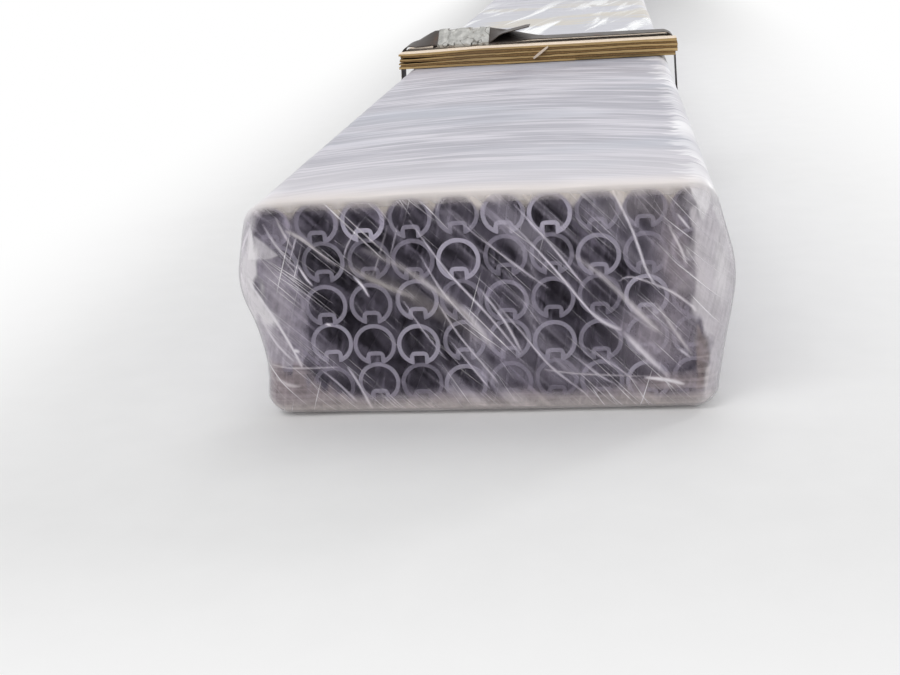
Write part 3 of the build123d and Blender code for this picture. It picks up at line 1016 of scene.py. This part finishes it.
def endFilm(side):
    x, z, turned, sheet, lowest = endSheetShape(side)
    seed = 20 if side < 0 else 40
    folds = slantedFolds(x, z, sheetLooks["foldSlant"], *sheetLooks["foldSize"], seed)
    folds = folds * smooth(0.35, 0.65, valueNoise(x * 14, z * 14, seed + 1))
    slack = valueNoise(x * 60, z * 60, seed + 2) - 0.5
    lift = sheetLooks["foldHeight"] * folds + sheetLooks["slackHeight"] * slack
    mark, cream = 0.25 * folds ** 2, np.zeros(x.shape)
    if side < 0:
        made, crease, tint = creaseMarks(x, z)
        lift, mark, cream = lift + made, np.maximum(mark, crease), np.maximum(cream, tint)
    else:
        for place, angle in enumerate(sheetLooks["backFoldSlants"]):
            more = slantedFolds(x, z, angle, *sheetLooks["backFoldSize"], seed + 5 + place) ** 6
            keep = smooth(0.5, 0.7, valueNoise(x * 20, z * 20, seed + 9 + place))
            lift += more * keep * sheetLooks["backFoldHeight"]
            mark = np.maximum(mark, 0.7 * more * keep)
    depth = depthInside(x, z)
    upper, lower = sleeveHigh.z - z, z - sleeveLow.z
    wobble = (valueNoise(x * 45, z * 45, seed + 3) - 0.5) * sheetLooks["marginWaver"]
    fromSide = halfWidthAt(z) - np.abs(x)
    ragged = (valueNoise(x * 30, z * 90, seed + 4) - 0.5) * sheetLooks["rightRagged"]
    marginLeft = 1 - smooth(*sheetLooks["leftMargin"], fromSide + wobble)
    marginLeft = marginLeft * smooth(0, -sheetLooks["marginAside"], x)
    marginRight = 1 - smooth(*sheetLooks["rightMargin"], fromSide + ragged)
    marginRight = marginRight * smooth(0, sheetLooks["marginAside"], x)
    marginTop = 1 - smooth(*sheetLooks["topMargin"], upper + 0.4 * wobble)
    marginBottom = 1 - smooth(*sheetLooks["bottomMargin"], lower + wobble)
    fromTube = np.full(x.shape, 1.0)
    for row, column in ends:
        away = np.hypot(x - columnPlaces[column], z - rowHeights[row]) - tubeRadius
        fromTube = np.where(np.abs(away) < np.abs(fromTube), away, fromTube)
    # The film dips between the crowns of the top row, and is thickest there.
    between = smooth(*sheetLooks["gapEdge"], fromTube)
    dipped = between * (1 - smooth(*sheetLooks["crownGaps"], upper + 0.4 * wobble))
    marginTop = np.maximum(0.55 * marginTop, 0.9 * dipped)
    onRing = np.exp(-((fromTube + tubeSizes["wall"] / 2) / sheetLooks["ringSoftness"]) ** 2)
    onRing = onRing * smooth(*sheetLooks["ringNear"], sheet - lowest)
    haze = sheetLooks["haze"] + sheetLooks["ringHaze"] * onRing
    frost = np.maximum.reduce([0.70 * marginLeft, 0.74 * marginRight, 0.8 * marginTop,
                               0.62 * marginBottom])
    marks = {"frost": frost, "crease": mark, "haze": haze, "cream": np.maximum(cream, marginTop),
             # The beige of the bottom margin is partly painted shade.
             "beigeAndShade": 0.7 * marginBottom,
             # The side margins' white, growing with height, is painted highlight.
             "whiteAndGlare": 0.3 * (marginLeft + marginRight) * smooth(*sheetLooks["highlightRise"], z)}
    if side < 0:
        addClouds(x, z, marks, seed + 60)
        addFacets(x, z, marks, seed + 90)
    stand = sheet - turned + lift * smooth(0, sheetLooks["rimFade"], depth)
    stand = np.maximum(stand, lowest - turned - sheetLooks["sink"])
    furthest = sleeveHigh.y - halfLength - endSizes["behindSleeve"]
    y = side * (halfLength + np.minimum(stand, furthest))
    rows, columns = x.shape
    if side < 0:
        outer = smooth(sheetLooks["drawnFrom"], 1, np.abs(x) / halfWidthAt(z))
        x = x + drawnIn(x, z, 0) * outer
    points = np.stack([x, y, z], axis=2).reshape(-1, 3)
    faces = gridFaces(rows, columns, flip=side > 0).tolist()
    name = "endFilmFront" if side < 0 else "endFilmBack"
    node = "end_film_front" if side < 0 else "end_film_back"
    piece = meshPiece(name, points, faces, "clearFilm", [node], marks)
    print(name, "drawn over the tube ends:", len(points), "points")
    return sheet - turned, z[:, 0], halfWidthAt(z[:, 0]) - endSizes["rim"]


def gridFaces(rows, columns, flip=False, closed=False):
    r, c = np.meshgrid(np.arange(rows - 1), np.arange(columns if closed else columns - 1),
                       indexing="ij")
    here, beside = r * columns + c, r * columns + (c + 1) % columns
    faces = np.stack([here, beside, beside + columns, here + columns], axis=2).reshape(-1, 4)
    return faces[:, ::-1] if flip else faces


endShapes = {side: endFilm(side) for side in (-1, 1)}

# The wound sleeve
sleeveSizes = {
    "lip": 6.5 * mm,            # how far it folds in over the end
    "lipSteps": 8,
    "lipLeast": 0.6 * mm,       # depth at which the end sheet is sampled at the turn
    "lipTop": (-4 * mm, 10 * mm),   # about the top row's axes, where the lip turns cream
    "crownReach": (11.5 * mm, 7 * mm),
    "crownRise": 8 * mm,
    "proud": 0.35 * mm,         # over the end sheet under it
    "wall": 1.0 * mm,
    # Ring spacing, up to each distance from the front end.
    "spacing": ((0.66, 2.1 * mm), (1.10, 4.2 * mm), (6.0, 26 * mm)),
    "plainEnd": 26 * mm,        # from the tube ends to the first ring that lies straight
    "edgeBlend": 40 * mm,       # over which the rings follow the turned edge less and less
    "rippleDepth": 0.5 * mm,
    "ripplePitch": (9 * mm, 23 * mm),
    "foldDepth": 2.2 * mm,      # where the wraps lie loose
    "foldPitch": 24 * mm,
    "foldLength": 0.35,
    "foldLean": 0.14,
    "looseness": (1.0, 0.14),   # behind the first batten and behind the others
    "looseFrom": (-10 * mm, 30 * mm),
    "looseTo": (0.95, 0.6),
    "linerStep": 0.3,
    "linerEnd": 60 * mm,
    "whiteAway": (60 * mm, 5 * mm),     # from the ends, and from the middle
    "whiteAside": (120 * mm, 140 * mm),
    "paintedCreamAway": (14 * mm, -4 * mm),
    "footPaintedCream": 0.7,
}


def standAt(side, x, z):
    # The end sheet's stand-out sampled at points of the section.
    stand, heights, widths = endShapes[side]
    rows, columns = stand.shape
    row = np.clip(np.interp(z, heights, np.arange(rows)), 0, rows - 1.001)
    width = np.interp(z, heights, widths)
    column = np.clip((x / width + 1) / 2 * (columns - 1), 0, columns - 1.001)
    r, c = row.astype(int), column.astype(int)
    fr, fc = row - r, column - c
    top = stand[r, c] * (1 - fc) + stand[r, c + 1] * fc
    low = stand[r + 1, c] * (1 - fc) + stand[r + 1, c + 1] * fc
    return top * (1 - fr) + low * fr


def sleeveStations():
    inner = sleeveSizes["plainEnd"]
    stations = [-halfLength + inner]
    for reach, step in sleeveSizes["spacing"]:
        end = min(-halfLength + reach, halfLength - inner)
        stations += list(np.linspace(stations[-1], end, int((end - stations[-1]) / step) + 1)[1:])
    return np.array(stations)


def overCrowns(x, z):
    # 1 straight above a tube of the top row, 0 between two of them.
    away = np.min([np.abs(x - place) for place in columnPlaces], axis=0)
    high = smooth(rowHeights[-1], rowHeights[-1] + sleeveSizes["crownRise"], z)
    return smooth(*sleeveSizes["crownReach"], away) * high


def looseness(y):
    # Wraps lie looser just behind each batten, most of all the first.
    loose = np.zeros(np.shape(y))
    for number in bandNumbers:
        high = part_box(f"batten_{number}")[1]
        past = y - high.y
        amount = sleeveSizes["looseness"][0 if number == 1 else 1]
        amount = amount * smooth(*sleeveSizes["looseFrom"], past)
        loose = np.maximum(loose, amount * smooth(*sleeveSizes["looseTo"], past))
    return loose


def woundSleeve():
    outline, normals = wrapOutline()
    count = len(outline)

    def lipRings(side):
        made = []
        for depth in np.linspace(sleeveSizes["lip"], 0, sleeveSizes["lipSteps"]):
            spot = outline - normals * max(depth, sleeveSizes["lipLeast"])
            stand = standAt(side, spot[:, 0], spot[:, 1]) + sleeveSizes["proud"]
            here = outline - normals * depth
            inward = depth / sleeveSizes["lip"]
            arches = overCrowns(here[:, 0], here[:, 1]) * smooth(0.15, 0.7, inward)
            creamy = (0.12 + 0.84 * (1 - inward) ** 1.6) * (1 - 0.6 * arches)
            creamy = creamy + 0.35 * (1 - arches) * inward
            plain = 0.08 + 0.5 * (1 - inward) ** 2.5
            top = smooth(*sleeveSizes["lipTop"], here[:, 1] - rowHeights[-1])
            made.append((np.column_stack([here[:, 0], side * (halfLength + stand), here[:, 1]]),
                         plain + (creamy - plain) * top))
        return made

    front, back = lipRings(-1), lipRings(1)[::-1]
    stations = sleeveStations()
    rings, cover = [list(parts) for parts in zip(*front)]
    turnFront, turnBack = front[-1][0][:, 1], back[0][0][:, 1]
    for y in stations:
        blend = smooth(0, sleeveSizes["edgeBlend"], np.array(y - stations[0]))
        fade = smooth(0, sleeveSizes["edgeBlend"], np.array(stations[-1] - y))
        # Near an end each line of the sleeve starts where its own edge turned.
        lineY = y + (turnFront - turnFront.mean()) * (1 - blend) * 0.5
        lineY = lineY + (turnBack - turnBack.mean()) * (1 - fade) * 0.5
        skewed = lineY + wrapArch * np.minimum(np.abs(outline[:, 0]), outerColumn) ** 2
        girth = np.arctan2(outline[:, 1] - bellyHeight, outline[:, 0])
        short, long = sleeveSizes["ripplePitch"]
        ripple = 0.6 * valueNoise(skewed / short, girth * 2.2, 61)
        ripple = ripple + 0.4 * ridge(valueNoise(skewed / long, girth * 1.7, 62), 2)
        leaning = (outline[:, 0] - sleeveSizes["foldLean"] * lineY) / sleeveSizes["foldPitch"]
        folds = ridge(valueNoise(leaning, lineY / sleeveSizes["foldLength"], 63), 3)
        folds = folds * sleeveSizes["foldDepth"] * looseness(lineY)
        ripple = ripple * sleeveSizes["rippleDepth"] + folds
        spot = outline - normals * ripple[:, None]
        rings.append(np.column_stack([spot[:, 0], lineY, spot[:, 1]]))
        cover.append(np.ones(count))
    rings += [ring for ring, share in back]
    cover += [share for ring, share in back]
    outer = len(rings)
    # A plain inner skin closes the film's thickness.
    inner = outline - normals * sleeveSizes["wall"]
    reach = halfLength - sleeveSizes["linerEnd"]
    for y in np.linspace(reach, -reach, int(2 * halfLength / sleeveSizes["linerStep"])):
        rings.append(np.column_stack([inner[:, 0], np.full(count, y), inner[:, 1]]))
        cover.append(np.ones(count))
    points = np.concatenate(rings)
    x, y, z = points.T.copy()
    points[:, 0] += drawnIn(x, z, halfLength + y)
    away = halfLength - np.abs(y)
    top = smooth(rowHeights[-1], sleeveHigh.z, z)
    # Painted highlight at the sides of the ends, partly white stretched film.
    sides = smooth(*sleeveSizes["whiteAway"], away) * smooth(*sleeveSizes["whiteAside"], np.abs(x))
    # Cream near each end, over the top and along the foot, is painted light.
    foot = sleeveSizes["footPaintedCream"] * smooth(rowHeights[0], sleeveLow.z, z)
    marks = {"cover": np.concatenate(cover),
             "cream": smooth(*sleeveSizes["paintedCreamAway"], away) * np.maximum(top, foot),
             "folded": looseness(y) * (0.3 + 0.7 * top), "whiteAndGlare": 0.7 * sides}
    faces = gridFaces(len(rings), count, closed=True)
    closing = (len(rings) - 1) * count
    ring = np.arange(count)
    last = np.column_stack([closing + ring, closing + (ring + 1) % count, (ring + 1) % count, ring])
    faces = np.concatenate([faces, last])
    piece = meshPiece("woundSleeve", points, faces.tolist(), "woundFilm",
                      ["film_sleeve"], marks)
    girth = np.linalg.norm(outline - np.roll(outline, 1, axis=0), axis=1).sum()
    2 * halfLength
    print("woundSleeve:", len(faces) * 2, "triangles,", outer, "rings, girth", round(girth, 4))


woundSleeve()

# Battens of old plywood
plySizes = {
    "plies": 7,
    "alongSteps": 150,
    "endSteps": 4,
    "bandClearance": 1.5 * mm,
    "raggedEdge": 1.6 * mm,
    "raggedEnd": 5.0 * mm,
    "raggedPitch": (17 * mm, 2.6 * mm, 5 * mm),     # front, front's fine part, back
    "waver": 1.0 * mm,          # how far the glue lines wander
    "waverPitch": (55 * mm, 5 * mm),
    "dip": 1.8 * mm,            # how much thinner the left end is pressed
    "dipFrom": -50 * mm,
    "standOut": (3.7 * mm, 6.1 * mm),   # how far the front strip reaches past the band's bends
    "parting": 1.5 * mm,        # how far the plies open at the battered end
    "partingLength": 55 * mm,
    "breakLength": 104 * mm,    # where the lowest ply of the first batten has broken away
    "breakDepth": 3 * mm,
    "breakSlope": 4 * mm,
}
splinter = {
    "pixels": ((533.5, 58.5), (540, 53), (548, 46.5)),
    "width": 2.6 * mm,
    "stand": 2.5 * mm,
    "root": 1.5 * mm,           # how deep it sits in the ply
}


def glueLine(number, line, x, low, high):
    # Height of the line between two plies; the outer faces stay flat.
    share = line / plySizes["plies"]
    dip = plySizes["dip"] * smooth(plySizes["dipFrom"], low.x, x)
    height = low.z + share * (high.z - low.z - dip)
    if 0 < line < plySizes["plies"]:
        long, short = plySizes["waverPitch"]
        slow = valueNoise(x / long, line * 1.7 + number, 95) - 0.5
        quick = valueNoise(x / short, line * 2.3 + number, 96) - 0.5
        height = height + plySizes["waver"] * (1.6 * slow + 0.5 * quick)
    return height


def barFaces(first, rings, count, flip=False):
    # The faces of a closed bar through rings of points, with its two ends.
    faces = []
    for ring in range(rings - 1):
        here = first + ring * count
        after = here + count
        for spot in range(count):
            beside = (spot + 1) % count
            wall = (here + spot, after + spot, after + beside, here + beside)
            faces.append((wall[0], *wall[:0:-1]) if flip else wall)
    near = tuple(range(first, first + count))
    far = tuple(place + (rings - 1) * count for place in near)
    return faces + ([near[::-1], far] if flip else [near, far[::-1]])


def plywoodBatten(number):
    low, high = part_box(f"batten_{number}")
    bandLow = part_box(f"band_{number}")[0]
    points, faces, layer, glue = [], [], [], []
    chance = np.random.default_rng(70 + number)
    steps = plySizes["alongSteps"]
    # Where a point of the section lies: share of the depth, and share of the ply's height.
    section = ((0, 0.14), (0.006, 0.0), (0.5, 0.0), (0.994, 0.0), (1, 0.14), (1, 0.86),
               (0.994, 1.0), (0.5, 1.0), (0.006, 1.0), (0, 0.86))
    for ply in range(plySizes["plies"]):
        # In front of the band the ends stand out a little more, each ply to its own length.
        cut = chance.random(2) * plySizes["raggedEnd"] * (0.75, 0.3 if ply > 2 else 0.9)
        left, right = np.array(plySizes["standOut"]) - cut
        atEnd = plySizes["endSteps"]
        x = np.concatenate([np.linspace(low.x - left, low.x - 0.2 * mm, atEnd),
                            np.linspace(low.x + 0.4 * mm, high.x - 0.4 * mm, steps - 2 * atEnd),
                            np.linspace(high.x + 0.2 * mm, high.x + right, atEnd)])
        frontPitch, finePitch, backPitch = plySizes["raggedPitch"]
        coarse = valueNoise(x / frontPitch, ply * 3.1, 80 + number)
        fine = valueNoise(x / finePitch, ply * 5.3, 83 + number)
        front = low.y + plySizes["raggedEdge"] * (0.75 * coarse + 0.25 * fine)
        back = high.y - plySizes["raggedEdge"] * valueNoise(x / backPitch, ply * 2.7, 90 + number)
        beyond = (x < low.x) | (x > high.x)
        back = np.where(beyond, bandLow.y - plySizes["bandClearance"], back)
        if ply == 0 and number == 1:
            start = high.x - plySizes["breakLength"]
            broken = smooth(start, start + plySizes["breakSlope"], x)
            front = front + plySizes["breakDepth"] * broken
        # At the battered end the plies part, and those between them have shrunk.
        opened = smooth(low.x + plySizes["partingLength"], low.x, x) * plySizes["parting"]
        base = glueLine(number, ply, x, low, high) + opened * (0.6 if ply in (3, 5) else 0.0)
        top = glueLine(number, ply + 1, x, low, high) - opened * (0.7 if ply in (2, 4) else 0.0)
        first = len(points)
        for place in range(steps):
            for across, level in section:
                y = front[place] + across * (back[place] - front[place])
                points.append((x[place], y, base[place] + level * (top[place] - base[place])))
                onTop = ply == plySizes["plies"] - 1 and level == 1.0
                layer.append(2 if onTop else ply % 2)
                glue.append(1.0 if level in (0.0, 1.0) and across != 0.5 and not onTop else 0.0)
        faces += barFaces(first, steps, len(section))
    if number == 1:
        addSplinter(points, faces, layer, glue, low.y)
    return points, faces, layer, glue


def addSplinter(points, faces, layer, glue, frontY):
    # A pale sliver that stands out of the front edge.
    places = np.array([onEndFace(*pixel, frontY) for pixel in splinter["pixels"]])
    line = smoothRoute(places, 5)
    side = np.array([line[0][1] - line[-1][1], line[-1][0] - line[0][0]])
    side = side / np.linalg.norm(side) * splinter["width"] / 2
    first = len(points)
    for place, spot in enumerate(line):
        share = place / (len(line) - 1)
        half = side * (0.45 + 0.55 * math.sin(math.pi * (0.15 + 0.75 * share)))
        stand = splinter["stand"] * math.sin(math.pi * share) + 0.2 * mm
        root = splinter["root"]
        for turn, depth in ((-1, -stand), (1, -stand), (1, root), (-1, root)):
            points.append((spot[0] + turn * half[0], frontY + depth, spot[1] + turn * half[1]))
            layer.append(2.0)
            glue.append(0.0)
    faces += barFaces(first, len(line), 4, flip=True)


def cutBattens():
    for number in bandNumbers:
        points, faces, layer, glue = plywoodBatten(number)
        meshPiece(f"plywoodBatten{number}", points, faces, "plywood",
                  [f"batten_{number}"], {"layer": layer, "glue": glue}, sharp=40)
    print("battens cut:", len(bandNumbers))


cutBattens()

# The steel bands and their seals: at the lap both are tipped up and forward, and crumpled.
lapSizes = {
    "tilt": 25,                 # degrees, front edge down
    "lift": 0.7 * mm,
    "rampLength": 40 * mm,
    "settleLength": 62 * mm,
    "tailSettle": 16 * mm,
    "runTilt": 1.0,             # degrees, where the band lies over the batten
    "runStart": 30 * mm,
    "runEnd": (140 * mm, 110 * mm),
    "moving": 10 * mm,          # how far below the seal the band still moves
    "belowTop": 0.2 * mm,
    "cutRounds": 7,
    "longEdge": 1.6,            # steps, above which an edge is cut
    "bandStep": 4.0 * mm,
    "sealStep": 1.5 * mm,
    "crumple": 2.2 * mm,
    "crumplePitch": (9 * mm, 13 * mm),
    "crumpleFrom": (-0.5 * mm, 1.5 * mm),   # about the seal's middle height
    "fineCrumple": 0.5 * mm,
    "finePitch": 2.4 * mm,
    "jagged": 2.4 * mm,
    "jaggedPitch": 6 * mm,
    "jaggedWidth": 8 * mm,
    "highest": 0.4 * mm,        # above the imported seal
}


def closeMesh(node, step, keep):
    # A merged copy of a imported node, cut finely where it is to be bent.
    work = bmesh.new()
    work.from_mesh(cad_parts[node].data)
    bmesh.ops.remove_doubles(work, verts=work.verts, dist=0.00001)
    limit = lapSizes["longEdge"] * step
    for _ in range(lapSizes["cutRounds"]):
        long = [edge for edge in work.edges
                if edge.calc_length() > limit and keep(edge.verts[0].co, edge.verts[1].co)]
        if not long:
            break
        bmesh.ops.subdivide_edges(work, edges=long, cuts=1, use_grid_fill=True)
        bmesh.ops.triangulate(work, faces=[face for face in work.faces if len(face.verts) > 3])
    return work, np.array([vertex.co for vertex in work.verts])


def tipped(points, sealLow, sealHigh):
    # Turns points of the lap about the band's own line, front edge down.
    x, y, z = points.T
    station, middle = (sealLow.y + sealHigh.y) / 2, (sealLow.z + sealHigh.z) / 2
    ramp = smooth(sealLow.x - lapSizes["rampLength"], sealLow.x, x)
    tail = z > middle
    settled = smooth(sealHigh.x + np.where(tail, lapSizes["tailSettle"], lapSizes["settleLength"]),
                     sealHigh.x, x)
    share = ramp * np.where(x > sealHigh.x, settled, 1.0)
    run = math.radians(lapSizes["runTilt"]) * (1 - share)
    run = run * smooth(sealHigh.x, sealHigh.x + lapSizes["runStart"], x)
    run = run * smooth(*lapSizes["runEnd"], x)
    turn = math.radians(lapSizes["tilt"]) * share + run
    off = y - station
    lifted = z + np.sin(turn) * off + lapSizes["lift"] * share
    lifted = np.minimum(lifted, cadHigh[2] - lapSizes["belowTop"])
    above = z > sealLow.z - lapSizes["moving"]
    return np.column_stack([x, np.where(above, station + off * np.cos(turn), y),
                            np.where(above, lifted, z)])


def finishBent(work, points, number, name, finish, node, sharp):
    # Tips the lap and makes a piece of the mesh.
    for vertex, spot in zip(work.verts, tipped(points, *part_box(f"seal_{number}"))):
        vertex.co = spot
    mesh = bpy.data.meshes.new(name)
    work.to_mesh(mesh)
    work.free()
    settle(name, mesh, finish, [node], sharp)


def layBand(number):
    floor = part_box(f"seal_{number}")[0].z - lapSizes["moving"]
    work, points = closeMesh(f"band_{number}", lapSizes["bandStep"],
                             lambda a, b: min(a.z, b.z) > floor)
    finishBent(work, points, number, f"steelBand{number}", "bandSteel",
               f"band_{number}", 35)


def crimpSeal(number):
    low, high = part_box(f"seal_{number}")
    work, points = closeMesh(f"seal_{number}", lapSizes["sealStep"], lambda a, b: True)
    station, middle = (low.y + high.y) / 2, (low.z + high.z) / 2
    x, y, z = points.T
    # The tool has crumpled the seal and torn its lower front edge.
    across, along = lapSizes["crumplePitch"]
    pitch = lapSizes["finePitch"]
    wave = ridge(valueNoise(x / across + number * 9, y / along, 101), 2) - 0.45
    fine = valueNoise(x / pitch, y / pitch, 102) - 0.5
    upper = smooth(*lapSizes["crumpleFrom"], z - middle)
    z = z + (lapSizes["crumple"] * wave + lapSizes["fineCrumple"] * fine) * upper
    jag = (valueNoise(x / lapSizes["jaggedPitch"] + number, 0.5, 103) - 0.5) * lapSizes["jagged"]
    y = y + jag * smooth(station - lapSizes["jaggedWidth"], low.y, y)
    z = np.minimum(z, high.z + lapSizes["highest"])
    finishBent(work, np.column_stack([x, y, z]), number, f"crimpedSeal{number}", "sealSteel",
               f"seal_{number}", 40)


for number in bandNumbers:
    layBand(number)
    crimpSeal(number)
print("bands laid and seals crimped:", len(bandNumbers), "of each")

# Floor, light and camera
studio = {
    "floorColours": ((0.83, 0.83, 0.83), (0.87, 0.87, 0.87)),
    "floorReach": 40.0,
    "floorDrop": 0.4 * mm,          # keeps the floor clear of the film that lies on it
    "whiteAside": (0.24, 0.55),     # metres from the middle, where the floor turns plain white
    "whiteBeyond": (3.14, 3.5),
    "fill": 0.62,
    "lamps": (
        # name, place, aim, size in metres, watts
        ("key", (-1.6, -4.6, 3.2), (0, -2.7, 0.1), 2.0, 34),
        ("overhead", (0.3, -1.6, 2.8), (0, -2.2, 0.1), 1.6, 15),
        ("edge", (1.9, -1.2, 1.3), (0.1, -2.6, 0.13), 0.5, 12),
    ),
}


def setFloor():
    finish = Finish("paleFloor")
    speck = finish.noise(30, detail=3)
    colour = finish.mixed(speck, *studio["floorColours"])
    lit = finish.shader(Base_Color=colour, Roughness=0.7, Specular_IOR_Level=0.2)
    # Away from the bundle and its shadow the floor shows plain white to the camera.
    plain = finish.add("ShaderNodeEmission", None, {"Color": (1, 1, 1), "Strength": 1.0})
    seen = finish.add("ShaderNodeLightPath", output="Is Camera Ray")
    aside, along = finish.axis("X").size(), finish.axis("Y").size()
    far = aside.step(*studio["whiteAside"]).most(along.step(*studio["whiteBeyond"]))
    finish.finished(finish.add("ShaderNodeMixShader", None, {0: far * seen, 1: lit, 2: plain}))
    corners = [(x * studio["floorReach"], y * studio["floorReach"], 0)
               for x, y in ((-1, -1), (1, -1), (1, 1), (-1, 1))]
    mesh = bpy.data.meshes.new("paleFloor")
    mesh.from_pydata(corners, [], [(0, 1, 2, 3)])
    mesh.materials.append(finish.material)
    floor = placed("paleFloor", mesh)
    floor.location.z = -studio["floorDrop"]


def setLamps():
    for name, place, aim, size, watts in studio["lamps"]:
        lamp = bpy.data.lights.new(name, "AREA")
        lamp.size = size
        lamp.energy = watts
        holder = placed(name, lamp)
        holder.location = place
        holder.rotation_euler = (Vector(aim) - Vector(place)).to_track_quat("-Z", "Y").to_euler()


def setWorld():
    world = bpy.data.worlds.new("studio")
    world.use_nodes = True
    world.node_tree.nodes.clear()
    graph = Graph(world.node_tree)
    ray = [graph.add("ShaderNodeLightPath", output=name) for name in
           ("Is Camera Ray", "Is Glossy Ray", "Is Transmission Ray")]
    seen = ray[0].most(ray[1]).most(ray[2])
    strength = studio["fill"] + seen * (1 - studio["fill"])
    light = graph.add("ShaderNodeBackground", None, {"Color": (1, 1, 1), "Strength": strength})
    graph.add("ShaderNodeOutputWorld", None, {"Surface": light})
    bpy.context.scene.world = world


def setCamera():
    camera = bpy.data.cameras.new("photoCamera")
    camera.lens = photoView["lens"]
    camera.sensor_width = photoView["sensorWidth"]
    camera.clip_start = 0.01
    holder = placed("photoCamera", camera)
    holder.location = photoView["location"]
    holder.rotation_euler = [math.radians(angle) for angle in photoView["tilt"]]
    bpy.context.scene.camera = holder


setFloor()
setLamps()
setWorld()
setCamera()
bpy.context.scene.view_settings.view_transform = "Standard"
print("studio set")
